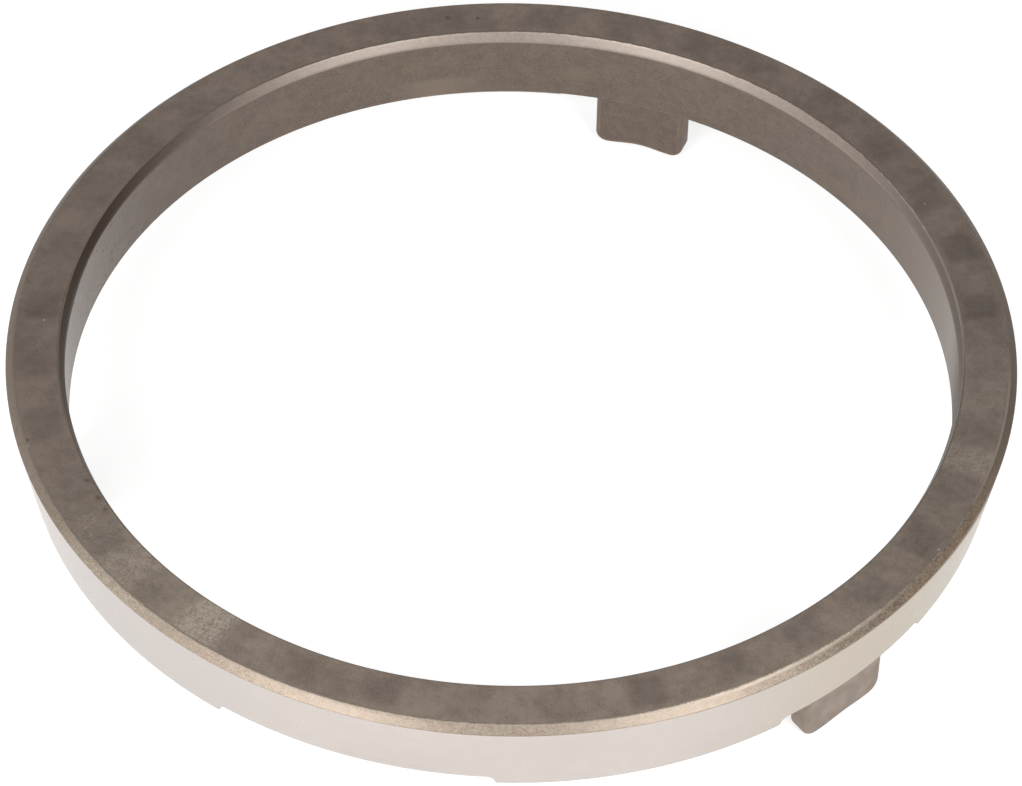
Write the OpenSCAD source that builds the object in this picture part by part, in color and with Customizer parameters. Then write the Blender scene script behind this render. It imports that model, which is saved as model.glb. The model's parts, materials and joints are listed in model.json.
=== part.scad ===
// Synchronizer ring: one steel ring with a conical friction face outside, a plain bore inside,
// and driving lugs on its lower face, each standing in a shallow recess between flat lands.
// The ring stands on its lugs, with its axis on Z, the feet of the lugs at Z = 0 and one lug at +Y.

/* [Ring] */
// Diameter of the plain bore
bore_d = 146; // [110:0.5:200]
// Width of the ring from the bore to the widest place of the outer cone
ring_w = 9.5; // [7.6:0.1:20]
// Height of the ring from its lands to its top face
ring_h = 15.4; // [10:0.1:24]
// Half-angle of the outer cone in degrees, narrowing downwards
cone_angle = 8.3; // [4:0.1:12]

/* [Chamfers] */
// Width and height of the 45 degree chamfer round the top of the cone
cone_chamfer = 1.25; // [0.4:0.05:2.5]
// Radial width of the lead-in chamfer at the top of the bore
lead_in_w = 0.75; // [0.3:0.05:2]
// Height of the lead-in chamfer at the top of the bore
lead_in_h = 1.85; // [0.5:0.05:3]
// Width and height of the 45 degree chamfer at the foot of the bore
bore_exit = 1.85; // [0.5:0.05:2.5]

/* [Recesses] */
// Depth of the recesses above the lands
recess_depth = 1.7; // [0.8:0.1:3]
// Angle of the plain recess midway between two lugs, from land to land in degrees
plain_recess_angle = 32.4; // [15:0.1:60]
// Radius of the fillet at both ends of each recess
recess_fillet = 1.6; // [0.4:0.1:2]

/* [Lugs] */
// Number of lugs, evenly spaced
lug_count = 3; // [3:1:5]
// Angle between the two radial sides of a lug, in degrees
lug_angle = 12.25; // [8:0.05:18]
// Angle left free in the recess on each side of a lug, in degrees
lug_gap_angle = 4.82; // [2:0.02:10]
// Height of a lug from its feet to the ceiling of its recess
lug_h = 11.9; // [7:0.05:16]
// Distance from the bore out to the lug's inner face
lug_setback = 1.7; // [0.4:0.1:2.5]
// Distance from the foot of the cone in to the lug's outer face
lug_inset = 1.9; // [0.4:0.1:3]
// Radius of the two lower corners of a lug
lug_corner_r = 2.2; // [1:0.1:4]
// Depth of the shallow hollow between the two feet of a lug
lug_hollow = 0.5; // [0.2:0.05:1.2]
// Radius of the fillet where a lug's sides meet the ceiling of its recess
lug_root_fillet = 0.5; // [0.2:0.05:1.5]

/* [Hidden] */
$fn = 180;
// How far cutters and joined pieces run past the faces that they meet
overlap = 1;

bore_r = bore_d / 2;
cone_r = bore_r + ring_w;

ceiling_z = lug_h;
land_z = ceiling_z - recess_depth;
top_z = land_z + ring_h;
shoulder_z = top_z - cone_chamfer;

lug_recess_angle = lug_angle + 2 * lug_gap_angle;
lug_pitch = 360 / lug_count;
first_lug_angle = 90;

lug_inner_r = bore_r + lug_setback;
lug_outer_r = wall_r(ceiling_z) - lug_inset;
lug_mean_r = (lug_inner_r + lug_outer_r) / 2;
hollow_half = lug_mean_r * sin(lug_angle / 2) - lug_corner_r;
hollow_r = (pow(hollow_half, 2) + pow(lug_hollow, 2)) / (2 * lug_hollow);

// Radius of the outer cone at height z
function wall_r(z) = cone_r - (shoulder_z - z) * tan(cone_angle);

// Half section of the ring without recesses and lugs, turned about the axis
module band() {
    rotate_extrude()
        polygon([
            [bore_r + bore_exit, land_z],
            [wall_r(land_z), land_z],
            [cone_r, shoulder_z],
            [cone_r - cone_chamfer, top_z],
            [bore_r + lead_in_w, top_z],
            [bore_r, top_z - lead_in_h],
            [bore_r, land_z + bore_exit],
        ]);
}

// What lies between a square corner at the origin and its round of radius r.
// The signs u and v say on which side of the corner the round lies.
module corner(r, u, v) {
    difference() {
        translate([u > 0 ? -overlap : -r, v > 0 ? -overlap : -r])
            square(r + overlap);
        translate([u * r, v * r])
            circle(r);
    }
}

// Draws a profile out through the ring along one radial side of a wedge centred on +X.
// In the profile, x runs from that side into the wedge and y is the height.
module along_side(angle, side) {
    start = bore_r * cos(angle) - overlap;
    rotate(side * angle / 2)
        translate([start, 0, 0])
            rotate([90, 0, 90])
                linear_extrude(cone_r + overlap - start)
                    mirror([max(side, 0), 0])
                        children();
}

// Profile across one end of a recess, as far as its middle
module recess_end(angle) {
    difference() {
        translate([0, land_z - overlap])
            square([cone_r * sin(angle / 2) + overlap, recess_depth + overlap]);
        translate([0, ceiling_z])
            corner(min(recess_fillet, recess_depth), 1, -1);
    }
}

// Space of one recess below its ceiling, from both ends
module recess(angle) {
    for (side = [-1, 1])
        along_side(angle, side)
            recess_end(angle);
}

// Profile across one side of a lug, past its other side: a round lower corner,
// a fillet at the ceiling of the recess, and a root that runs into the ring
module lug_side() {
    difference() {
        square([2 * cone_r * sin(lug_angle / 2), ceiling_z + overlap]);
        corner(lug_corner_r, 1, 1);
    }
    translate([0, ceiling_z])
        corner(lug_root_fillet, -1, -1);
}

// One driving lug on +X, with a shallow hollow across its end that leaves two feet
module lug() {
    difference() {
        intersection() {
            rotate_extrude()
                translate([lug_inner_r, 0])
                    square([lug_outer_r - lug_inner_r, ceiling_z + overlap]);
            along_side(lug_angle, -1)
                lug_side();
            along_side(lug_angle, 1)
                lug_side();
        }
        translate([0, 0, lug_hollow - hollow_r])
            rotate([0, 90, 0])
                cylinder(h = cone_r, r = hollow_r);
    }
}

// Repeats a shape once for each lug, from a first angle
module round_ring(first_angle) {
    for (i = [0 : lug_count - 1])
        rotate(first_angle + i * lug_pitch)
            children();
}

module synchronizer_ring() {
    color([0.49, 0.46, 0.43]) {
        difference() {
            band();
            round_ring(first_lug_angle)
                recess(lug_recess_angle);
            round_ring(first_lug_angle + lug_pitch / 2)
                recess(plain_recess_angle);
        }
        round_ring(first_lug_angle)
            lug();
    }
}

synchronizer_ring();
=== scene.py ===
import json
import math

import bmesh
import bpy
import numpy as np
from mathutils import Matrix, Vector


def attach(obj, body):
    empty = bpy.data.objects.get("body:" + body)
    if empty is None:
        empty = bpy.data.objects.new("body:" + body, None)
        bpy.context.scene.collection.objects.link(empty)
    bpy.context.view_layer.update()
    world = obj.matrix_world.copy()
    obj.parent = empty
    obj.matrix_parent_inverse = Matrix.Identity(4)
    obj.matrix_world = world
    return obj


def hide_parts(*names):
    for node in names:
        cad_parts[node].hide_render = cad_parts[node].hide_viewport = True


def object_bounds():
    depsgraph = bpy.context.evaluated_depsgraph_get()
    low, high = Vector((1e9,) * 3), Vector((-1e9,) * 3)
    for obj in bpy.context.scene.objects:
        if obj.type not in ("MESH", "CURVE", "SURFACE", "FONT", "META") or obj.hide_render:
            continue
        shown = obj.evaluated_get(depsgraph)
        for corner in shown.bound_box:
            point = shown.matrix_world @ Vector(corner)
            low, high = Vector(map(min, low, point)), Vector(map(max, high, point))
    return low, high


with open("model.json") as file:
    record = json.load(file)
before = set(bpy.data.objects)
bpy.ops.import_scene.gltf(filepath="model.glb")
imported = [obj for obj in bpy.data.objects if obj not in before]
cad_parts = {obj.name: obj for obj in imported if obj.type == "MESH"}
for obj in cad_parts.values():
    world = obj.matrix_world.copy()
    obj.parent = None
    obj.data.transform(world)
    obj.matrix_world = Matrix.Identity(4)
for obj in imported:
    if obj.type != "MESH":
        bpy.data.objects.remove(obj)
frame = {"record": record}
cad_low, cad_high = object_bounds()

# Sizes of the ring in millimetres, taken from the frame where it gives them
MM = 0.001
NODE = "synchronizer_ring"
BORE = next(m for m in frame["record"]["mounts"] if m["name"] == "bore")
BORE_R = BORE["dims"]["r_mm"]
CONE_R = cad_high.x / MM
TOP_Z = cad_high.z / MM
RING_H = 15.4
CONE_SLOPE = math.tan(math.radians(8.3))
CONE_CHAMFER = 1.25
LEAD_IN_W = 0.75
LEAD_IN_H = 1.85
BORE_EXIT = 1.85
RECESS_DEPTH = 1.7
PLAIN_RECESS = math.radians(32.4)
LUG_COUNT = 3
FIRST_LUG = math.radians(90)
LUG_ANGLE = math.radians(12.25)
LUG_GAP = math.radians(4.82)
LUG_SETBACK = 1.7
LUG_INSET = 1.9
LUG_CORNER = 2.2
LUG_HOLLOW = 0.5
LUG_ROOT = 0.5

# Radii, heights and angles that follow from these sizes
TOP_IN = BORE_R + LEAD_IN_W
TOP_OUT = CONE_R - CONE_CHAMFER
SHOULDER_Z = TOP_Z - CONE_CHAMFER
LEAD_IN_Z = TOP_Z - LEAD_IN_H
LAND_Z = TOP_Z - RING_H
CEILING_Z = LAND_Z + RECESS_DEPTH
EXIT_Z = LAND_Z + BORE_EXIT
LUG_RECESS = LUG_ANGLE + 2 * LUG_GAP
HALF_PITCH = math.pi / LUG_COUNT


def wall_r(z):
    """Radius of the outer cone at height z."""
    return CONE_R - (SHOULDER_Z - z) * CONE_SLOPE


LUG_IN = BORE_R + LUG_SETBACK
LUG_OUT = wall_r(CEILING_Z) - LUG_INSET
LUG_MEAN = (LUG_IN + LUG_OUT) / 2
LUG_HALF = LUG_MEAN * LUG_ANGLE / 2

# Rounds on the edges: small ones as deburring leaves them, and larger ones at the ends of the recesses
# and at the foot of the lead-in
RECESS_EDGE = 0.2
RECESS_FILLET = RECESS_DEPTH - RECESS_EDGE
LUG_EDGE = 0.85
# Rounded corners of the section, in order from the inner edge of the top face outwards and round:
# radius and finish of each
ROUNDS = {
    "top_inner": (0.30, "lead_in"),
    "top_outer": (0.50, "edge"),
    "shoulder": (0.20, "rim_chamfer"),
    "foot_outer": (0.18, "underside"),
    "foot_inner": (0.10, "underside"),
    "exit": (0.12, "underside"),
    "lead_in_foot": (1.80, "lead_in"),
}

# How finely the mesh is divided
ROUND_STEPS = 4
LUG_EDGE_STEPS = 5
LUG_END_PARTS = 4
LEDGE_PARTS = 3
SIDE_ROWS = 10
ROOT_ROWS = 5
CORNER_COLUMNS = 7
HOLLOW_COLUMNS = 18
COLUMN_STEP = math.radians(0.7)

# Camera: place and aim, in metres from the middle of the top face, and the lens are fitted to the photograph
VIEW_AZIMUTH = math.radians(17.3)
CAMERA_BACK = 0.45794
CAMERA_UP = 0.47528
AIM_FORWARD = 0.01332
CAMERA_ROLL = math.radians(0.8636)
LENS = 142.28
SENSOR_WIDTH = 36.0
CLIP_START = 0.05
CLIP_END = 50.0


# Section of the ring

def between(start, stop, parts):
    """Points that divide the way from start to stop into equal parts, without its two ends."""
    return np.linspace(start, stop, parts + 1)[1:-1]


def quarter_turn(steps):
    """Angles of a quarter turn in equal steps."""
    return np.linspace(0, math.pi / 2, steps + 1)


def fillet(before, corner, after, radius, steps):
    """Points of the arc that rounds a corner between its two neighbours."""
    before, corner, after = (np.array(p, float) for p in (before, corner, after))
    u = (before - corner) / np.linalg.norm(before - corner)
    v = (after - corner) / np.linalg.norm(after - corner)
    half = math.acos(float(u @ v)) / 2
    centre = corner + (u + v) / np.linalg.norm(u + v) * radius / math.sin(half)
    reach = radius / math.tan(half)
    first = corner + u * reach - centre
    last = corner + v * reach - centre
    sweep = math.pi - 2 * half
    share = np.linspace(0, 1, steps + 1)[:, None]
    turned = np.sin((1 - share) * sweep) * first + np.sin(share * sweep) * last
    return centre + turned / math.sin(sweep)


def lug_strip():
    """Radii across a lug from its outer to its inner face, and how far each lies inside its outline."""
    turn = quarter_turn(LUG_EDGE_STEPS)
    inset = LUG_EDGE * (1 - np.sin(turn))
    outer = LUG_OUT - LUG_EDGE * (1 - np.cos(turn))
    inner = LUG_IN + LUG_EDGE * (1 - np.cos(turn))
    middle = between(outer[-1], inner[-1], LUG_END_PARTS)
    radii = np.concatenate([outer, middle, inner[::-1]])
    return radii, np.concatenate([inset, 0 * middle, inset[::-1]])


STRIP_R, STRIP_INSET = lug_strip()


def corners(bottom):
    """Corners of the section before rounding, for a given height of the lower face."""
    return {
        "top_inner": (TOP_IN, TOP_Z),
        "top_outer": (TOP_OUT, TOP_Z),
        "shoulder": (CONE_R, SHOULDER_Z),
        "foot_outer": (wall_r(bottom), bottom),
        "foot_inner": (BORE_R + EXIT_Z - bottom, bottom),
        "exit": (BORE_R, EXIT_Z),
        "lead_in_foot": (BORE_R, LEAD_IN_Z),
    }


def rounds_of(bottom):
    """Arc of each rounded corner of the section."""
    at = corners(bottom)
    names = list(at)
    arcs = {}
    for i, name in enumerate(names):
        before = at[names[i - 1]]
        after = at[names[(i + 1) % len(names)]]
        arcs[name] = fillet(before, at[name], after, ROUNDS[name][0], ROUND_STEPS)
    return arcs


def lower_shares():
    """Where the rows of the lower face lie between its two rounded edges, so that they meet a lug's edges.

    Also returns the number of rows outside a lug."""
    arcs = rounds_of(CEILING_Z)
    outer = arcs["foot_outer"][-1][0]
    inner = arcs["foot_inner"][0][0]
    ledge_out = between(outer, LUG_OUT, LEDGE_PARTS)
    ledge_in = between(LUG_IN, inner, LEDGE_PARTS)
    radii = np.concatenate([ledge_out, STRIP_R, ledge_in])
    return (radii - outer) / (inner - outer), len(ledge_out)


LOWER_SHARES, LEDGE_ROWS = lower_shares()
# Face that follows each corner: its finish, and where its rows lie as shares of its width
FACES = {
    "top_inner": ("top_face", between(0, 1, 7)),
    "top_outer": ("rim_chamfer", between(0, 1, 4)),
    "shoulder": ("cone", between(0, 1, 7)),
    "foot_outer": ("underside", LOWER_SHARES),
    "foot_inner": ("underside", between(0, 1, 3)),
    "exit": ("bore", between(0, 1, 7)),
    "lead_in_foot": ("lead_in", between(0, 1, 4)),
}


def section(bottom):
    """Points (radius, height) round the section."""
    arcs = rounds_of(bottom)
    names = list(arcs)
    points = []
    for i, name in enumerate(names):
        start = arcs[name][-1]
        end = arcs[names[(i + 1) % len(names)]][0]
        points.extend(arcs[name])
        points.extend(start + share * (end - start) for share in FACES[name][1])
    return np.array(points)


def section_finishes():
    """Finish of each strip between two rows of the section, and the row where the lower face begins."""
    finishes = []
    lower = 0
    for name, (finish, shares) in FACES.items():
        finishes += [ROUNDS[name][1]] * ROUND_STEPS
        if name == "foot_outer":
            lower = len(finishes)
        finishes += [finish] * (len(shares) + 1)
    return finishes, lower


FINISHES, LOWER_ROW = section_finishes()
STRIP_FIRST = LOWER_ROW + 1 + LEDGE_ROWS
STRIP_LAST = STRIP_FIRST + len(STRIP_R) - 1


# Lug outline

def lug_outline():
    """Outline of a lug as places along the arc and heights: from the ceiling of its recess down one side,
    along its end with the shallow hollow, and up the other side."""
    turn = quarter_turn(ROOT_ROWS)
    root_s = -LUG_HALF - LUG_ROOT * (1 - np.sin(turn))
    root_z = CEILING_Z - LUG_ROOT * (1 - np.cos(turn))
    side_z = np.linspace(root_z[-1], LUG_CORNER, SIDE_ROWS - ROOT_ROWS + 1)[1:]
    side_s = np.full(len(side_z), -LUG_HALF)
    turn = quarter_turn(CORNER_COLUMNS)[1:]
    corner_s = -LUG_HALF + LUG_CORNER * (1 - np.cos(turn))
    corner_z = LUG_CORNER * (1 - np.sin(turn))
    flat = LUG_HALF - LUG_CORNER
    hollow_s = between(-flat, flat, HOLLOW_COLUMNS)
    hollow_z = LUG_HOLLOW * (0.5 + 0.5 * np.cos(math.pi * hollow_s / flat))
    left_s = np.concatenate([root_s, side_s, corner_s])
    left_z = np.concatenate([root_z, side_z, corner_z])
    left = np.stack([left_s, left_z], 1)
    hollow = np.stack([hollow_s, hollow_z], 1)
    right = (left * np.array([-1, 1]))[::-1]
    return np.concatenate([left, hollow, right])


OUTLINE = lug_outline()
END_COLUMNS = len(OUTLINE) - 1 - 2 * SIDE_ROWS


def outline_inset():
    """Direction into the lug at each point of its outline, fading out towards its root."""
    along = np.gradient(OUTLINE, axis=0)
    along /= np.linalg.norm(along, axis=1)[:, None]
    into = np.stack([-along[:, 1], along[:, 0]], 1)
    share = np.clip((CEILING_Z - OUTLINE[:, 1]) / LUG_ROOT - 1, 0, 1)
    return into * share[:, None]


INTO = outline_inset()


def face_columns():
    """Places along the arc of the columns of a lug's face, at the ceiling of its recess."""
    edge = OUTLINE + INTO * STRIP_INSET[0]
    end = edge[SIDE_ROWS:SIDE_ROWS + END_COLUMNS + 1, 0]
    share = (end - end[0]) / (end[-1] - end[0])
    return OUTLINE[0, 0] + share * (OUTLINE[-1, 0] - OUTLINE[0, 0])


# Columns round the ring

def recess_end():
    """Places along the arc across the end of a recess, from its land inwards, and the heights there."""
    turn = quarter_turn(ROUND_STEPS)
    edge_s = -RECESS_EDGE * (1 - np.sin(turn))
    edge_z = LAND_Z + RECESS_EDGE * (1 - np.cos(turn))
    turn = quarter_turn(2 * ROUND_STEPS)[1:]
    rise_s = RECESS_FILLET * (1 - np.cos(turn))
    rise_z = LAND_Z + RECESS_EDGE + RECESS_FILLET * np.sin(turn)
    return np.concatenate([edge_s, rise_s]), np.concatenate([edge_z, rise_z])


def level_columns(start, stop):
    """Angles of even columns between two others."""
    return between(start, stop, max(2, round((stop - start) / COLUMN_STEP)))


def columns_of_half():
    """Angle from a lug's middle and lower height of each column, up to the middle of a plain recess."""
    end_s, end_z = recess_end()
    end_angle = end_s / LUG_MEAN
    lug = face_columns()[END_COLUMNS // 2:] / LUG_MEAN
    lug_side = (LUG_RECESS / 2 - end_angle)[::-1]
    plain_side = HALF_PITCH - PLAIN_RECESS / 2 + end_angle
    beside_lug = level_columns(lug[-1], lug_side[0])
    land = level_columns(lug_side[-1], plain_side[0])
    plain = np.append(level_columns(plain_side[-1], HALF_PITCH), HALF_PITCH)
    angles = np.concatenate([lug, beside_lug, lug_side, land, plain_side, plain])
    heights = np.concatenate([
        np.full(len(lug) + len(beside_lug), CEILING_Z),
        end_z[::-1],
        np.full(len(land), LAND_Z),
        end_z,
        np.full(len(plain), CEILING_Z),
    ])
    return np.stack([angles, heights], 1)


def columns_of_third():
    """Columns of one third of the ring, from the middle of one plain recess to the next, without the last."""
    half = columns_of_half()
    left = half[::-1] * np.array([-1, 1])
    return np.concatenate([left[:-1], half])[:-1]


THIRD = columns_of_third()
PER_THIRD = len(THIRD)
LUG_FIRST = PER_THIRD // 2 - END_COLUMNS // 2
LUG_LAST = LUG_FIRST + END_COLUMNS


# The mesh

# Steps from a quad's first corner to each of its four
QUAD = ((0, 0), (0, 1), (1, 1), (1, 0))
# The map for baking, in millimetres to its side: a strip for each third of the ring, and above the strips
# the lugs beside each other, each with its sides and end first and then its two faces
MAP_SIZE = 165.0
THIRD_MAP_PITCH = 0.306
LUG_MAP_V = 0.935
LUG_MAP_LEFT = 0.005
LUG_MAP_PITCH = 0.33
LUG_MAP_SCALE = 0.7 / MAP_SIZE
STRIP_MAP_SQUASH = 0.8
FACE_MAP_LEFT = 0.165
FACE_MAP_PITCH = 0.08


class RingMesh:
    """Collects vertices in millimetres and quads with their finish and their place on the map."""

    def __init__(self):
        self.points = []
        self.quads = []
        self.finishes = []
        self.places = []

    def add(self, angle, radius, height):
        """Adds a vertex and returns its number."""
        self.points.append((radius * math.cos(angle), radius * math.sin(angle), height))
        return len(self.points) - 1

    def quad(self, ring, finish, places):
        """Adds a quad by the numbers of its vertices."""
        self.quads.append(ring)
        self.finishes.append(finish)
        self.places.append(places)


def lug_turn(n):
    """Angle of the middle of a lug."""
    return FIRST_LUG + n * 2 * HALF_PITCH


def path_lengths(points):
    """Length of the way along a line of points up to each of them."""
    steps = np.linalg.norm(np.diff(points, axis=0), axis=1)
    return np.concatenate([[0], np.cumsum(steps)])


def band_points(mesh):
    """Vertices of the turned ring with its recesses, by column and row."""
    sections = {height: section(height) for height in np.unique(THIRD[:, 1])}
    grid = {}
    for n in range(LUG_COUNT):
        for i, (angle, height) in enumerate(THIRD):
            for k, (r, z) in enumerate(sections[height]):
                grid[n * PER_THIRD + i, k] = mesh.add(lug_turn(n) + angle, r, z)
    return grid


def band_map():
    """Places on the map of the columns and rows of a third of the ring."""
    angles = np.append(THIRD[:, 0], HALF_PITCH)
    along = (angles - angles[0]) * (BORE_R + CONE_R) / 2
    flat = section(CEILING_Z)
    around = path_lengths(np.vstack([flat, flat[:1]]))
    return along / MAP_SIZE, around / MAP_SIZE


def band_faces(mesh, grid):
    """Quads of the turned ring, with the rows under each lug left open."""
    along, around = band_map()
    columns = LUG_COUNT * PER_THIRD
    rows = len(FINISHES)
    for j in range(columns):
        n, i = divmod(j, PER_THIRD)
        sloping = THIRD[i, 1] != THIRD[(i + 1) % PER_THIRD, 1]
        for k, finish in enumerate(FINISHES):
            if LUG_FIRST <= i < LUG_LAST and STRIP_FIRST <= k < STRIP_LAST:
                continue
            ring = [grid[(j + a) % columns, (k + b) % rows] for a, b in QUAD]
            places = [(along[i + a], n * THIRD_MAP_PITCH + around[k + b]) for a, b in QUAD]
            mesh.quad(ring, "step" if sloping and finish == "underside" else finish, places)


def lug_strip_points(mesh, grid, columns, middle):
    """Vertices of the strip round a lug's sides and end, by row across it and point of the outline."""
    last = len(OUTLINE) - 1
    strip = {}
    for w, (r, inset) in enumerate(zip(STRIP_R, STRIP_INSET)):
        edge = OUTLINE + INTO * inset
        strip[w, 0] = grid[columns[0], STRIP_FIRST + w]
        strip[w, last] = grid[columns[-1], STRIP_FIRST + w]
        for u in range(1, last):
            strip[w, u] = mesh.add(middle + edge[u, 0] / LUG_MEAN, r, edge[u, 1])
    return strip


def lug_strip_faces(mesh, strip, left):
    """Quads of the strip round a lug's sides and end."""
    along = left + path_lengths(OUTLINE) * LUG_MAP_SCALE
    across = LUG_MAP_V + (LUG_OUT - STRIP_R) * LUG_MAP_SCALE * STRIP_MAP_SQUASH
    for w in range(len(STRIP_R) - 1):
        for u in range(len(OUTLINE) - 1):
            ring = [strip[w + a, u + b] for a, b in QUAD]
            mesh.quad(ring, "lug", [(along[u + b], across[w + a]) for a, b in QUAD])


def lug_face(mesh, rim, top, w, middle, left, finish):
    """The inner or outer face of a lug, as columns from its end up to the ceiling of the recess.

    It is joined to the strip by its rim, and to the band by the vertices along its top."""
    edge = OUTLINE + INTO * STRIP_INSET[w]
    side = edge[SIDE_ROWS::-1]
    end = edge[SIDE_ROWS:SIDE_ROWS + END_COLUMNS + 1]
    across = (end[:, 0] - end[0, 0]) / (end[-1, 0] - end[0, 0])
    rise = (side[:, 1] - side[0, 1]) / (CEILING_Z - side[0, 1])
    net = {}
    places = {}
    for c in range(END_COLUMNS + 1):
        for t in range(SIDE_ROWS + 1):
            s = side[t, 0] * (1 - 2 * across[c])
            z = end[c, 1] + (CEILING_Z - end[c, 1]) * rise[t]
            places[c, t] = (left + (s + LUG_HALF + LUG_ROOT) * LUG_MAP_SCALE, LUG_MAP_V + z * LUG_MAP_SCALE)
            if c == 0:
                net[c, t] = rim[SIDE_ROWS - t]
            elif c == END_COLUMNS:
                net[c, t] = rim[SIDE_ROWS + END_COLUMNS + t]
            elif t == 0:
                net[c, t] = rim[SIDE_ROWS + c]
            elif t == SIDE_ROWS:
                net[c, t] = top[c]
            else:
                net[c, t] = mesh.add(middle + s / LUG_MEAN, STRIP_R[w], z)
    for c in range(END_COLUMNS):
        for t in range(SIDE_ROWS):
            ring = [net[c + a, t + b] for b, a in QUAD]
            mesh.quad(ring, finish, [places[c + a, t + b] for b, a in QUAD])


def lug(mesh, grid, n):
    """One lug: the strip round its sides and end, then its outer and its inner face."""
    middle = lug_turn(n)
    columns = [n * PER_THIRD + c for c in range(LUG_FIRST, LUG_LAST + 1)]
    left = LUG_MAP_LEFT + n * LUG_MAP_PITCH
    strip = lug_strip_points(mesh, grid, columns, middle)
    lug_strip_faces(mesh, strip, left)
    left += FACE_MAP_LEFT
    for w, finish in ((0, "lug"), (len(STRIP_R) - 1, "bore")):
        rim = [strip[w, u] for u in range(len(OUTLINE))]
        top = [grid[c, STRIP_FIRST + w] for c in columns]
        lug_face(mesh, rim, top, w, middle, left, finish)
        left += FACE_MAP_PITCH


def even_normals(data):
    """Drops the vertices that no face uses, turns all faces outwards and shades them smooth."""
    work = bmesh.new()
    work.from_mesh(data)
    bmesh.ops.delete(work, geom=[v for v in work.verts if not v.link_faces], context="VERTS")
    bmesh.ops.recalc_face_normals(work, faces=work.faces)
    for face in work.faces:
        face.smooth = True
    work.to_mesh(data)
    work.free()


def build_ring(materials):
    """The whole ring as one closed mesh with a material for each finish."""
    mesh = RingMesh()
    grid = band_points(mesh)
    band_faces(mesh, grid)
    for n in range(LUG_COUNT):
        lug(mesh, grid, n)
    data = bpy.data.meshes.new("synchronizer_ring_visual")
    data.from_pydata([(x * MM, y * MM, z * MM) for x, y, z in mesh.points], [], mesh.quads)
    order = list(materials)
    for material in materials.values():
        data.materials.append(material)
    data.polygons.foreach_set("material_index", [order.index(finish) for finish in mesh.finishes])
    layer = data.uv_layers.new(name="OFBake")
    layer.uv.foreach_set("vector", np.array(mesh.places, np.float32).ravel())
    even_normals(data)
    ring = bpy.data.objects.new("ring", data)
    bpy.context.scene.collection.objects.link(ring)
    weighted = ring.modifiers.new("even_shading", "WEIGHTED_NORMAL")
    weighted.weight = 50
    weighted.keep_sharp = False
    return ring


# Materials

class Shader:
    """A material's node tree, with short calls for the nodes used here."""

    def __init__(self, name):
        self.material = bpy.data.materials.new(name)
        self.material.use_nodes = True
        self.tree = self.material.node_tree
        self.tree.nodes.clear()
        self.output = self.tree.nodes.new("ShaderNodeOutputMaterial")
        self.surface = self.tree.nodes.new("ShaderNodeBsdfPrincipled")
        self.join(self.surface.outputs["BSDF"], self.output.inputs["Surface"])

    def join(self, source, target):
        self.tree.links.new(source, target)

    def put(self, target, value):
        """Joins a socket, or sets a constant."""
        if isinstance(value, bpy.types.NodeSocket):
            self.join(value, target)
        else:
            target.default_value = value

    def math(self, operation, *values):
        node = self.tree.nodes.new("ShaderNodeMath")
        node.operation = operation
        for socket, value in zip(node.inputs, values):
            self.put(socket, value)
        return node.outputs[0]

    def measure(self, operation, *vectors):
        """Length of a vector, or distance between two."""
        node = self.tree.nodes.new("ShaderNodeVectorMath")
        node.operation = operation
        for socket, vector in zip(node.inputs, vectors):
            self.put(socket, vector)
        return node.outputs["Value"]

    def split(self, vector):
        node = self.tree.nodes.new("ShaderNodeSeparateXYZ")
        self.put(node.inputs[0], vector)
        return node.outputs

    def merge(self, x, y, z):
        node = self.tree.nodes.new("ShaderNodeCombineXYZ")
        for socket, value in zip(node.inputs, (x, y, z)):
            self.put(socket, value)
        return node.outputs[0]

    def noise(self, vector, scale, detail=2.0):
        node = self.tree.nodes.new("ShaderNodeTexNoise")
        self.put(node.inputs["Vector"], vector)
        node.inputs["Scale"].default_value = scale
        node.inputs["Detail"].default_value = detail
        return node.outputs["Fac"]

    def chance(self, value):
        """A random number that belongs to a whole number."""
        node = self.tree.nodes.new("ShaderNodeTexWhiteNoise")
        node.noise_dimensions = "1D"
        self.put(node.inputs["W"], value)
        return node.outputs["Value"]

    def ramp(self, value, low, high, to_low=0.0, to_high=1.0):
        """Smooth step of a value between two numbers."""
        node = self.tree.nodes.new("ShaderNodeMapRange")
        node.interpolation_type = "SMOOTHSTEP"
        self.put(node.inputs["Value"], value)
        node.inputs["From Min"].default_value = low
        node.inputs["From Max"].default_value = high
        node.inputs["To Min"].default_value = to_low
        node.inputs["To Max"].default_value = to_high
        return node.outputs["Result"]

    def product(self, first, *others):
        for other in others:
            first = self.math("MULTIPLY", first, other)
        return first

    def most(self, first, *others):
        for other in others:
            first = self.math("MAXIMUM", first, other)
        return first

    def blend(self, *layers):
        """Sum of values, each given with its share."""
        total = None
        for value, share in layers:
            part = self.math("MULTIPLY", value, share)
            total = part if total is None else self.math("ADD", total, part)
        return total

    def mix(self, factor, first, second, how="MIX"):
        """Colour between two others, each a socket or three numbers."""
        node = self.tree.nodes.new("ShaderNodeMix")
        node.data_type = "RGBA"
        node.blend_type = how
        colours = [s for s in node.inputs if s.type == "RGBA"]
        self.put(node.inputs["Factor"], factor)
        for socket, colour in zip(colours, (first, second)):
            self.put(socket, colour if isinstance(colour, bpy.types.NodeSocket) else (*colour, 1))
        return next(s for s in node.outputs if s.type == "RGBA")


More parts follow.
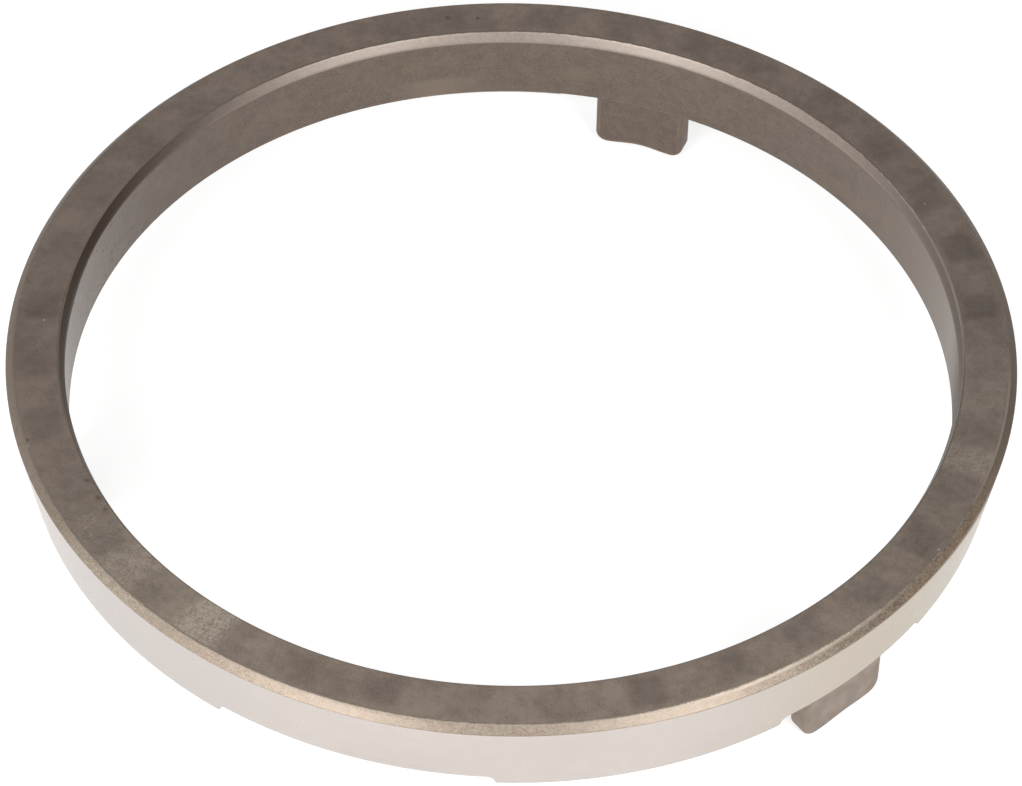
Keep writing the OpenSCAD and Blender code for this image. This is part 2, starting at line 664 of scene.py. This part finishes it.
class Steel(Shader):
    """A finish of the ring, with its place round the axis in metres and radians."""

    # Grain of a spot's ragged edge, and where the edge begins and ends as shares of the spot's size
    SPOT_GRAIN = 900
    SPOT_EDGE = (1.3, 0.5)
    # The range of the grain that the roughness follows, how much rougher a dull place is, and the height
    # of the grain's bumps in millimetres
    GRAIN_RANGE = (0.3, 0.7)
    DULLNESS = 0.4
    BUMP_HEIGHT = 0.03

    def __init__(self, name, metallic):
        super().__init__(name)
        self.surface.inputs["Metallic"].default_value = metallic
        self.place = self.tree.nodes.new("ShaderNodeTexCoord").outputs["Object"]
        self.x, self.y, self.height = self.split(self.place)
        self.radius = self.measure("LENGTH", self.merge(self.x, self.y, 0.0))
        self.angle = self.math("ARCTAN2", self.y, self.x)

    def turned(self, along, across, over):
        """Place for noise drawn out in rings: slow round the axis, fast over the radius or the height."""
        return self.merge(
            self.math("MULTIPLY", self.x, along),
            self.math("MULTIPLY", self.y, along),
            self.math("MULTIPLY", over, across),
        )

    def over_height(self, low, high):
        """Smooth step over the height, given in millimetres."""
        return self.ramp(self.height, low * MM, high * MM)

    def over_radius(self, low, high):
        """Smooth step over the radius, given in millimetres."""
        return self.ramp(self.radius, low * MM, high * MM)

    def arc(self, stretch):
        """One inside a stretch of the ring, zero outside. A stretch is its middle, width and soft margin."""
        middle, width, soft = (math.radians(degrees) for degrees in stretch)
        off = self.math("SUBTRACT", self.angle, middle)
        off = self.math("ABSOLUTE", self.math("WRAP", off, math.pi, -math.pi))
        return self.ramp(off, (width + soft) / 2, (width - soft) / 2)

    def spot(self, angle, radius, size):
        """One inside a ragged spot at the height of the top face, zero outside."""
        turn = math.radians(angle)
        middle = (radius * math.cos(turn) * MM, radius * math.sin(turn) * MM, TOP_Z * MM)
        ragged = self.math("MULTIPLY", self.noise(self.place, self.SPOT_GRAIN), size * MM)
        away = self.math("ADD", self.measure("DISTANCE", self.place, middle), ragged)
        outer, inner = self.SPOT_EDGE
        return self.ramp(away, outer * size * MM, inner * size * MM)

    def spots(self, places):
        """One inside any of the spots, which are given by angle, radius and size."""
        return self.most(*(self.spot(*place) for place in places))

    def finish(self, colour, grain, roughness, spread, bump, dull=None):
        """Joins the colour, and a roughness and a bump that follow the grain. A dull place is rougher."""
        self.join(colour, self.surface.inputs["Base Color"])
        rough = self.ramp(grain, *self.GRAIN_RANGE, roughness - spread, roughness + spread)
        if dull is not None:
            rough = self.math("MULTIPLY_ADD", dull, self.DULLNESS, rough)
        self.join(rough, self.surface.inputs["Roughness"])
        node = self.tree.nodes.new("ShaderNodeBump")
        node.inputs["Strength"].default_value = bump
        node.inputs["Distance"].default_value = self.BUMP_HEIGHT * MM
        self.put(node.inputs["Height"], grain)
        self.join(node.outputs["Normal"], self.surface.inputs["Normal"])
        return self.material


# Marks are placed by stretches of the ring: middle, width and soft margin in degrees, with 90 at the far lug.
# The camera stands at about 287 degrees, so that the left of the photograph is at 197 and its right at 17.

# Top face

# Painted sheen and shade: the face is a little lighter along the diameter at this angle, which runs towards
# the camera as the reflection off a turned face would, and darker across it
PAINTED_SHEEN_DIAMETER = math.radians(107)
# The dark bands across it lie every ten degrees, deepest on the listed stretches and fainter at the back
BAND_COUNT = 36
BAND_START = math.radians(23.3)
DEEP_BANDS = ((21.3, 8, 4), (33.0, 6, 4), (303, 5, 4), (343, 7, 4))
FAINT_BANDS = (125, 110, 40)
# Paler stretches, each with its strength
SCUFFS = (
    ((250.7, 6.0, 3.0), 0.9),
    ((238.3, 6.5, 4.0), 0.55),
    ((243, 38, 24), 0.22),
    ((152.3, 8, 5), 0.09),
    ((9.5, 12, 3), 0.15),
    ((357.2, 4.5, 2.5), 0.4),
    ((335, 44, 30), 0.11),
)
# The scratched stretch, and how many waves of noise make the scratches to a radian and to a metre of radius
SCRATCHED = (231, 4.5, 3)
SCRATCHES_ROUND = 330.0
SCRATCHES_ACROSS = 550.0
INNER_STAIN = (200, 26, 12)
# Spots of rust and pale specks: angle, radius and size
TOP_RUST = (
    (224.0, 74.6, 1.1),
    (227.1, 74.5, 1.0),
    (229.4, 74.7, 1.1),
    (116.2, 78.0, 1.0),
    (112.4, 77.4, 0.8),
)
RIM_RUST = (
    (215.4, 80.9, 0.6),
    (221.7, 81.3, 0.6),
    (223.7, 81.4, 0.5),
    (228.2, 81.3, 0.5),
)
PALE_SPECKS = (
    (192.5, 81.2, 0.5),
    (196.2, 76.6, 0.35),
    (216.3, 81.1, 0.45),
    (42.0, 76.3, 0.35),
    (343.2, 80.9, 0.4),
)
RUST = (0.082, 0.047, 0.031)
SPECK = (0.42, 0.4, 0.37)


def dark_bands(s):
    """How far a place on the top face lies in one of the dark bands."""
    turns = s.math("MULTIPLY", s.math("SUBTRACT", s.angle, BAND_START), BAND_COUNT)
    wobble = s.math("SUBTRACT", s.noise(s.place, 70), 0.5)
    wave = s.math("COSINE", s.math("ADD", turns, wobble))
    number = s.math("ROUND", s.math("DIVIDE", turns, 2 * math.pi))
    number = s.math("FLOORED_MODULO", number, BAND_COUNT)
    width = TOP_OUT - TOP_IN
    reach = s.over_radius(TOP_OUT, TOP_IN + 0.7 * width)
    reach = s.product(reach, s.over_radius(TOP_IN, TOP_IN + 0.25 * width))
    depth = s.math("MULTIPLY_ADD", s.chance(number), 0.6, 0.2)
    for stretch in DEEP_BANDS:
        depth = s.most(depth, s.math("MULTIPLY", s.arc(stretch), 0.95))
    faint = s.ramp(s.arc(FAINT_BANDS), 0.0, 1.0, to_low=1.0, to_high=0.5)
    return s.product(s.ramp(wave, -0.35, 0.55), reach, depth, faint)


def scratches(s):
    """Short radial scratches on a small stretch of the top face, clear of its edges."""
    round_axis = s.math("MULTIPLY", s.angle, SCRATCHES_ROUND)
    along = s.math("MULTIPLY", s.radius, SCRATCHES_ACROSS)
    lines = s.ramp(s.noise(s.merge(round_axis, along, 0.0), 1.0, detail=1), 0.56, 0.7)
    clear_inside = s.over_radius(TOP_IN + 1.75, TOP_IN + 3.25)
    clear_outside = s.over_radius(TOP_OUT - 0.75, TOP_OUT - 2.25)
    return s.product(lines, s.arc(SCRATCHED), clear_inside, clear_outside)


def inner_stain(s):
    """How far a place on the top face lies in the ragged dark stain along its inner edge, on the left."""
    ragged = s.blend((s.radius, 1.0), (s.noise(s.place, 800, detail=3), 0.5 * MM))
    return s.product(s.ramp(ragged, (TOP_IN + 0.7) * MM, (TOP_IN + 0.45) * MM), s.arc(INNER_STAIN))


def top_face_steel():
    """Dull brown-grey face with dark bands, scuffs, scratches, a stain, rust spots, specks and a painted
    sheen towards the camera.
    """
    s = Steel("top_face_steel", metallic=0.1)
    grain = s.noise(s.place, 3600)
    patch = s.noise(s.place, 700, detail=3)
    mottle = s.noise(s.place, 260)
    cloud = s.noise(s.place, 70)
    tone = s.blend((cloud, 0.3), (mottle, 0.3), (patch, 0.2), (grain, 0.4))
    colour = s.mix(s.ramp(tone, 0.465, 0.735), (0.146, 0.112, 0.088), (0.226, 0.178, 0.1445))
    band_tint = (0.68, 0.69, 0.71)
    colour = s.mix(dark_bands(s), colour, band_tint, "MULTIPLY")
    # Painted sheen and shade: lighter along the diameter towards the camera, darkened across it
    across = s.math("COSINE", s.math("MULTIPLY", s.math("SUBTRACT", s.angle, PAINTED_SHEEN_DIAMETER), 2.0))
    shade = (0.03, 0.025, 0.02)
    colour = s.mix(s.ramp(across, 1.0, -1.0, to_high=0.2), colour, shade)
    scuffed = s.most(*(s.product(s.arc(stretch), strength) for stretch, strength in SCUFFS))
    speckle = s.blend((patch, 0.35), (s.noise(s.place, 2300), 0.65))
    pale = (0.375, 0.323, 0.263)
    colour = s.mix(s.product(scuffed, s.ramp(speckle, 0.33, 0.67, to_low=0.25)), colour, pale)
    scratch = (0.3, 0.26, 0.225)
    colour = s.mix(s.product(scratches(s), 0.8), colour, scratch)
    stain = (0.085, 0.06, 0.042)
    colour = s.mix(s.product(inner_stain(s), 0.8), colour, stain)
    colour = s.mix(s.product(s.spots(TOP_RUST + RIM_RUST), 0.85), colour, RUST)
    colour = s.mix(s.product(s.spots(PALE_SPECKS), 0.6), colour, SPECK)
    return s.finish(colour, grain, roughness=0.5, spread=0.05, bump=0.25)


# Rim: the chamfer round the top of the cone, and the rounded edge above it

# The front of the rim, clear of the painted shade that darkens its back and sides
RIM_FRONT = (272, 164, 74)
RIM_WORN = (238, 14, 10)
RIM_BURNISHED = (298, 12, 10)
RIM_STAINED = (344, 26, 18)
RIM_BROWN_LEFT = (260, 16, 10)
RIM_BROWN_RIGHT = (325, 24, 8)
RIM_BROWN_ABOVE = (271, 24, 10)
RIM_PAINTED_HIGHLIGHT_ABOVE = (322, 24, 10)
EDGE_FRONT = (300, 160, 50)
EDGE_PAINTED_HIGHLIGHT = (318, 26, 12)
EDGE_RIGHT = (3.5, 18, 8)


def rim_chamfer_steel():
    """Speckled beige chamfer: painted shade at the back and towards the sides, and a painted highlight along
    its top on the right of the front; worn and burnished in places, brown and stained in others.
    """
    s = Steel("rim_chamfer_steel", metallic=0.9)
    grain = s.noise(s.place, 3800)
    tone = s.blend((s.noise(s.place, 900, detail=3), 0.25), (grain, 0.75))
    even = s.ramp(tone, 0.35, 0.65)
    strong = s.ramp(tone, 0.38, 0.62)
    front = s.mix(even, (0.25, 0.2, 0.158), (0.335, 0.281, 0.228))
    # Painted shade: this colour darkens the rim at the back and towards the sides
    back = (0.155, 0.117, 0.088)
    colour = s.mix(s.arc(RIM_FRONT), back, front)
    worn = s.mix(strong, (0.3, 0.245, 0.19), (0.475, 0.405, 0.335))
    colour = s.mix(s.product(s.arc(RIM_WORN), 0.8), colour, worn)
    burnished = s.mix(even, (0.295, 0.244, 0.198), (0.395, 0.338, 0.282))
    colour = s.mix(s.product(s.arc(RIM_BURNISHED), 0.4), colour, burnished)
    stained = s.mix(strong, (0.25, 0.184, 0.132), (0.4, 0.3, 0.217))
    colour = s.mix(s.product(s.arc(RIM_STAINED), 0.85), colour, stained)
    above = s.over_height(TOP_Z - 0.5, TOP_Z - 0.25)
    browned = s.most(
        s.product(s.arc(RIM_BROWN_LEFT), 0.35),
        s.product(s.arc(RIM_BROWN_RIGHT), 0.48),
        s.product(above, s.arc(RIM_BROWN_ABOVE), 0.35),
    )
    brown = (0.17, 0.137, 0.108)
    colour = s.mix(s.product(browned, s.ramp(tone, 0.38, 0.62, to_low=1.7, to_high=0.3)), colour, brown)
    # Painted highlight: the top of the chamfer is paler just below the edge's painted highlight on the right
    # of the front
    pale = (0.36, 0.303, 0.246)
    colour = s.mix(s.product(above, s.arc(RIM_PAINTED_HIGHLIGHT_ABOVE)), colour, pale)
    colour = s.mix(s.product(s.spots(RIM_RUST), 0.8), colour, RUST)
    return s.finish(colour, grain, roughness=0.49, spread=0.06, bump=0.5)


def edge_steel():
    """Rounded edge between the top face and the rim chamfer, with a painted highlight, a bright line of
    polished-steel colour, on the right of the front.
    """
    s = Steel("edge_steel", metallic=1.0)
    grain = s.noise(s.place, 3000)
    tone = s.blend((s.noise(s.place, 500), 0.4), (grain, 0.6))
    front = s.mix(s.ramp(tone, 0.35, 0.65), (0.26, 0.22, 0.18), (0.36, 0.311, 0.262))
    back = (0.34, 0.285, 0.24)
    colour = s.mix(s.arc(EDGE_FRONT), back, front)
    # Painted highlight: the bright line that the edge shows on the right of the front, where it catches the
    # right softbox
    painted_highlight = s.mix(s.ramp(tone, 0.38, 0.62), (0.365, 0.308, 0.255), (0.585, 0.505, 0.423))
    colour = s.mix(s.arc(EDGE_PAINTED_HIGHLIGHT), colour, painted_highlight)
    right = (0.44, 0.37, 0.315)
    colour = s.mix(s.arc(EDGE_RIGHT), colour, right)
    colour = s.mix(s.spots(PALE_SPECKS), colour, SPECK)
    return s.finish(colour, grain, roughness=0.55, spread=0.06, bump=0.3)


# Cone

# Painted shade at both sides of the front, where the cone mirrors floor that the ring shades; yellower on the
# right
CONE_PAINTED_SHADE_LEFT = (242, 28, 26)
CONE_PAINTED_SHADE_RIGHT = (341, 44, 32)
# The stain below the rim: its stretch, the angle where it begins to deepen, the angle over which it does so
# and by what power, then its depth before that and what it gains over that angle, in millimetres
CONE_STAINED = (345, 60, 30)
STAIN_START = math.radians(-30)
STAIN_SPAN = math.radians(26)
STAIN_POWER = 3.2
STAIN_DEPTH = 0.6
STAIN_GAIN = 5.5
# A faint line round the cone: its stretch and how far it lies below the top
CONE_LINED = (273, 12, 6)
LINE_DOWN = 12.5


def rim_stain(s):
    """How far a place on the cone lies in the brown stain below the rim, which grows deeper to the right."""
    turn = s.math("DIVIDE", s.math("SUBTRACT", s.angle, STAIN_START), STAIN_SPAN)
    growth = s.math("POWER", s.math("MAXIMUM", turn, 0.0), STAIN_POWER)
    depth = s.math("MULTIPLY_ADD", growth, STAIN_GAIN * MM, STAIN_DEPTH * MM)
    below = s.math("SUBTRACT", SHOULDER_Z * MM, s.height)
    share = s.ramp(s.math("DIVIDE", below, depth), 1.0, 0.0)
    return s.product(share, s.arc(CONE_STAINED))


def cone_line(s):
    """How far a place on the cone lies in the faint line round it."""
    off = s.math("ABSOLUTE", s.math("SUBTRACT", s.height, (TOP_Z - LINE_DOWN) * MM))
    return s.product(s.ramp(off, 0.3 * MM, 0.05 * MM), s.arc(CONE_LINED))


def cone_steel():
    """Bright ground friction face with faint marks round it, painted shade at both sides, stained on the
    right.
    """
    s = Steel("cone_steel", metallic=1.0)
    streak = s.noise(s.turned(along=50, across=2600, over=s.height), 1.0, detail=3)
    tone = s.blend((streak, 0.06), (s.noise(s.place, 90), 0.55), (s.noise(s.place, 350), 0.39))
    colour = s.mix(s.ramp(tone, 0.35, 0.65), (0.522, 0.474, 0.441), (0.546, 0.496, 0.462))
    # Painted shade on the left and, yellower, on the right
    left = (0.478, 0.436, 0.41)
    colour = s.mix(s.arc(CONE_PAINTED_SHADE_LEFT), colour, left)
    right = (0.424, 0.362, 0.285)
    colour = s.mix(s.arc(CONE_PAINTED_SHADE_RIGHT), colour, right)
    stain = rim_stain(s)
    brown = (0.145, 0.111, 0.074)
    colour = s.mix(stain, colour, brown)
    line = (0.3, 0.26, 0.23)
    colour = s.mix(s.product(cone_line(s), 0.15), colour, line)
    return s.finish(colour, tone, roughness=0.27, spread=0.005, bump=0.002, dull=stain)


# Bore and lead-in

BORE_STAINED = (203, 38, 26)
BORE_WARM = (27, 44, 24)
BORE_PALE_FOOT = (118.5, 9, 7)
BORE_SHADED = (163, 28, 16)
BORE_DULL = (3, 24, 18)
BORE_PITTED = (190, 40, 20)
LEAD_IN_PAINTED_HIGHLIGHT = (97, 118, 50)
LEAD_IN_LIGHTER_SHADE_RIGHT = (0, 80, 30)
LEAD_IN_LEFT = (192, 46, 16)
LEAD_IN_WORN = (8, 84, 16)
LEAD_IN_BARE = (37, 42, 16)
LEAD_IN_PAINTED_CREST = (242, 182, 24)
LEAD_IN_DULL = (196, 42, 20)


def bore_stain(s):
    """How far a place in the bore lies in the dark stain that runs down from the lead-in on the left."""
    reach = s.math("MULTIPLY", s.arc(BORE_STAINED), 1.3 * MM)
    ragged = s.math("MULTIPLY", s.noise(s.place, 700), 0.3 * MM)
    below = s.math("SUBTRACT", LEAD_IN_Z * MM, s.height)
    past = s.math("SUBTRACT", s.math("ADD", below, ragged), reach)
    return s.ramp(past, 0.2 * MM, -0.1 * MM)


def bore_steel():
    """Brown-grey bore with marks of turning, blotches, a stain and a few pits."""
    s = Steel("bore_steel", metallic=0.6)
    streak = s.noise(s.turned(along=45, across=2600, over=s.height), 1.0, detail=3)
    grain = s.noise(s.place, 3000)
    blotch = s.noise(s.place, 190, detail=3)
    tone = s.blend((streak, 0.1), (blotch, 0.12), (s.noise(s.place, 600), 0.22), (grain, 0.56))
    colour = s.mix(s.ramp(tone, 0.37, 0.63), (0.121, 0.092, 0.073), (0.166, 0.129, 0.105))
    warm = (0.19, 0.142, 0.1)
    colour = s.mix(s.ramp(s.noise(s.place, 230), 0.5, 0.7, to_high=0.3), colour, warm)
    warmer = (0.2, 0.142, 0.095)
    colour = s.mix(s.product(s.arc(BORE_WARM), 0.35), colour, warmer)
    foot = s.over_height(EXIT_Z + 4.6, EXIT_Z + 3.0)
    pale = (0.21, 0.163, 0.125)
    colour = s.mix(s.product(foot, s.arc(BORE_PALE_FOOT), 0.7), colour, pale)
    shade = (0.06, 0.043, 0.031)
    colour = s.mix(s.product(s.arc(BORE_SHADED), 0.13), colour, shade)
    dull = s.arc(BORE_DULL)
    dark = (0.06, 0.045, 0.035)
    colour = s.mix(s.product(dull, 0.5), colour, dark)
    stained = bore_stain(s)
    stain = (0.05, 0.035, 0.025)
    colour = s.mix(s.product(stained, 0.9), colour, stain)
    pits = s.ramp(s.noise(s.place, 1300, detail=1), 0.65, 0.7)
    pit = (0.04, 0.029, 0.022)
    colour = s.mix(s.product(pits, s.arc(BORE_PITTED)), colour, pit)
    return s.finish(colour, grain, roughness=0.34, spread=0.04, bump=0.2, dull=s.most(dull, stained))


def lead_in_steel():
    """Fine speckled chamfer at the top of the bore: a painted highlight makes it bright at the back, with a
    ragged upper edge there, painted shade darkens it to the sides, where on the left it is also stained, a
    painted highlight lightens its crest along the front, and it is worn along its upper edge."""
    s = Steel("lead_in_steel", metallic=1.0)
    grain = s.noise(s.place, 3600)
    tone = s.blend((s.noise(s.place, 800, detail=3), 0.25), (grain, 0.75))
    # Painted highlight: bright at the back, where the chamfer mirrors the softboxes
    bright = s.mix(s.ramp(tone, 0.33, 0.67), (0.288, 0.241, 0.209), (0.352, 0.299, 0.262))
    # Painted shade: dark to the sides, where the chamfer mirrors shaded floor, less so on the right; on the
    # left it is also a dark stain
    stained = s.mix(s.arc(LEAD_IN_LIGHTER_SHADE_RIGHT), (0.064, 0.043, 0.029), (0.137, 0.108, 0.087))
    back = s.arc(LEAD_IN_PAINTED_HIGHLIGHT)
    colour = s.mix(back, stained, bright)
    chamfer = s.over_height(LEAD_IN_Z - 0.4, LEAD_IN_Z + 0.1)
    like_bore = (0.15, 0.115, 0.094)
    colour = s.mix(s.most(chamfer, s.arc(LEAD_IN_LEFT)), like_bore, colour)
    edge = s.over_height(TOP_Z - 0.4, TOP_Z - 0.05)
    worn = s.mix(s.arc(LEAD_IN_BARE), (0.29, 0.246, 0.207), (0.5, 0.437, 0.37))
    colour = s.mix(s.product(edge, s.arc(LEAD_IN_WORN)), colour, worn)
    # Painted highlight: the crest of the inner edge is lighter along the front, where it shows as a thin
    # bright line
    crest = s.over_height(TOP_Z - 0.2, TOP_Z - 0.03)
    painted_crest_highlight = (0.3, 0.243, 0.2)
    colour = s.mix(s.product(crest, s.arc(LEAD_IN_PAINTED_CREST)), colour, painted_crest_highlight)
    ragged = s.blend((s.height, 1.0), (s.noise(s.place, 700, detail=3), 0.5 * MM))
    ragged = s.ramp(ragged, (TOP_Z + 0.08) * MM, (TOP_Z + 0.2) * MM)
    like_top = (0.19, 0.157, 0.131)
    colour = s.mix(s.product(ragged, back), colour, like_top)
    dull = s.product(s.arc(LEAD_IN_DULL), 0.3)
    return s.finish(colour, grain, roughness=0.48, spread=0.05, bump=0.35, dull=dull)


# Underside and lugs

FRONT_LUG = (330, 60, 20)


def underside_steel():
    """Milled lower faces, a little brown, with faint marks round them."""
    s = Steel("underside_steel", metallic=0.5)
    streak = s.noise(s.turned(along=90, across=1800, over=s.radius), 1.0, detail=2)
    grain = s.noise(s.place, 3200)
    tone = s.blend((streak, 0.15), (s.noise(s.place, 200, detail=3), 0.4), (grain, 0.45))
    colour = s.mix(s.ramp(tone, 0.37, 0.63), (0.18, 0.15, 0.126), (0.26, 0.22, 0.188))
    return s.finish(colour, grain, roughness=0.46, spread=0.05, bump=0.3)


def lug_steel():
    """Sides, ends and outer faces of the lugs: dark brown towards the axis, lighter outside and all over
    the front lug."""
    s = Steel("lug_steel", metallic=0.5)
    grain = s.noise(s.place, 3200)
    tone = s.blend((s.noise(s.place, 350, detail=3), 0.65), (grain, 0.35))
    share = s.ramp(tone, 0.36, 0.64)
    dark = s.mix(share, (0.157, 0.116, 0.091), (0.197, 0.146, 0.115))
    light = s.mix(share, (0.228, 0.183, 0.151), (0.3, 0.246, 0.205))
    outside = s.over_radius(LUG_OUT - 1.6, LUG_OUT - 0.3)
    colour = s.mix(s.most(outside, s.arc(FRONT_LUG)), dark, light)
    warm = (0.25, 0.175, 0.115)
    colour = s.mix(s.ramp(s.noise(s.place, 420), 0.52, 0.68, to_high=0.35), colour, warm)
    return s.finish(colour, grain, roughness=0.55, spread=0.05, bump=0.3)


def step_steel():
    """Brighter milled ends of the recesses."""
    s = Steel("step_steel", metallic=1.0)
    grain = s.noise(s.place, 2000)
    colour = s.mix(s.ramp(grain, 0.35, 0.65), (0.5, 0.455, 0.42), (0.62, 0.57, 0.535))
    return s.finish(colour, grain, roughness=0.4, spread=0.05, bump=0.2)


MATERIALS = {
    "top_face": top_face_steel(),
    "rim_chamfer": rim_chamfer_steel(),
    "edge": edge_steel(),
    "cone": cone_steel(),
    "underside": underside_steel(),
    "lug": lug_steel(),
    "bore": bore_steel(),
    "lead_in": lead_in_steel(),
    "step": step_steel(),
}

ring = build_ring(MATERIALS)
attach(ring, "root")
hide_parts(NODE)


# Stage, light and camera

# Floor: half its side in metres, its grey, and the glow that lifts it to white
FLOOR_HALF = 8.0
FLOOR_GREY = 0.55
FLOOR_LIFT = 0.66
# Softboxes: azimuth to the right of the camera in degrees, distance, width and height in metres, and power
SOFTBOXES = {
    "key_left": (-35.5, 0.4, 0.18, 0.46, 1.85),
    "fill_right": (36, 0.4, 0.16, 0.46, 1.6),
    "panel_left": (-80, 0.7, 0.8, 0.5, 0.9),
}
SOFTBOX_CLEARANCE = 0.02
# Studio light: its colour, how far a direction rises before it grows, and its least and greatest strength
SKY_COLOUR = (1.0, 0.99, 0.98, 1)
SKY_RISE = 0.1
SKY_LOW = 0.12
SKY_HIGH = 0.6


def floor_material():
    """White floor that keeps the ring's shadow, lifted to white where it is seen or mirrored."""
    s = Shader("floor_white")
    s.surface.inputs["Base Color"].default_value = (FLOOR_GREY, FLOOR_GREY, FLOOR_GREY, 1)
    s.surface.inputs["Roughness"].default_value = 0.9
    s.surface.inputs["Specular IOR Level"].default_value = 0.0
    path = s.tree.nodes.new("ShaderNodeLightPath").outputs
    seen = s.most(path["Is Camera Ray"], path["Is Glossy Ray"], path["Is Transmission Ray"])
    s.surface.inputs["Emission Color"].default_value = (1, 1, 1, 1)
    s.join(s.math("MULTIPLY", seen, FLOOR_LIFT), s.surface.inputs["Emission Strength"])
    return s.material


def add_floor():
    """A wide square floor under the lugs' feet."""
    data = bpy.data.meshes.new("floor")
    signs = ((-1, -1), (1, -1), (1, 1), (-1, 1))
    data.from_pydata([(x * FLOOR_HALF, y * FLOOR_HALF, 0) for x, y in signs], [], [(0, 1, 2, 3)])
    data.materials.append(floor_material())
    floor = bpy.data.objects.new("floor", data)
    bpy.context.scene.collection.objects.link(floor)


def add_softbox(name, azimuth, distance, width, height, power):
    """A soft lamp that stands just clear of the floor and faces the ring's axis."""
    data = bpy.data.lights.new(name, "AREA")
    data.shape = "RECTANGLE"
    data.size = width
    data.size_y = height
    data.energy = power
    lamp = bpy.data.objects.new(name, data)
    bpy.context.scene.collection.objects.link(lamp)
    turn = VIEW_AZIMUTH + math.radians(azimuth)
    middle_z = height / 2 + SOFTBOX_CLEARANCE
    lamp.location = (math.sin(turn) * distance, -math.cos(turn) * distance, middle_z)
    lamp.rotation_euler = (math.pi / 2, 0, turn)


def add_world():
    """Even studio light that comes mostly from above."""
    world = bpy.data.worlds.new("studio")
    bpy.context.scene.world = world
    world.use_nodes = True
    nodes = world.node_tree.nodes
    links = world.node_tree.links
    rise = nodes.new("ShaderNodeSeparateXYZ")
    links.new(nodes.new("ShaderNodeTexCoord").outputs["Generated"], rise.inputs[0])
    strength = nodes.new("ShaderNodeMapRange")
    strength.interpolation_type = "SMOOTHSTEP"
    strength.inputs["From Min"].default_value = SKY_RISE
    strength.inputs["From Max"].default_value = 1.0
    strength.inputs["To Min"].default_value = SKY_LOW
    strength.inputs["To Max"].default_value = SKY_HIGH
    links.new(rise.outputs["Z"], strength.inputs["Value"])
    shade = nodes["Background"]
    shade.inputs["Color"].default_value = SKY_COLOUR
    links.new(strength.outputs["Result"], shade.inputs["Strength"])


def add_camera():
    """The camera of the photograph, which looks down at the ring from in front."""
    data = bpy.data.cameras.new("camera")
    data.lens = LENS
    data.sensor_width = SENSOR_WIDTH
    data.clip_start = CLIP_START
    data.clip_end = CLIP_END
    camera = bpy.data.objects.new("camera", data)
    bpy.context.scene.collection.objects.link(camera)
    turn = Matrix.Rotation(VIEW_AZIMUTH, 3, "Z")
    top = Vector((0, 0, TOP_Z * MM))
    place = turn @ Vector((0, -CAMERA_BACK, CAMERA_UP)) + top
    aim = turn @ Vector((0, -AIM_FORWARD, 0)) + top
    look = (aim - place).to_track_quat("-Z", "Y").to_matrix()
    rolled = look @ Matrix.Rotation(CAMERA_ROLL, 3, "Z")
    camera.matrix_world = Matrix.Translation(place) @ rolled.to_4x4()
    bpy.context.scene.camera = camera


add_floor()
add_world()
for name, values in SOFTBOXES.items():
    add_softbox(name, *values)
add_camera()
bpy.context.scene.view_settings.view_transform = "Standard"
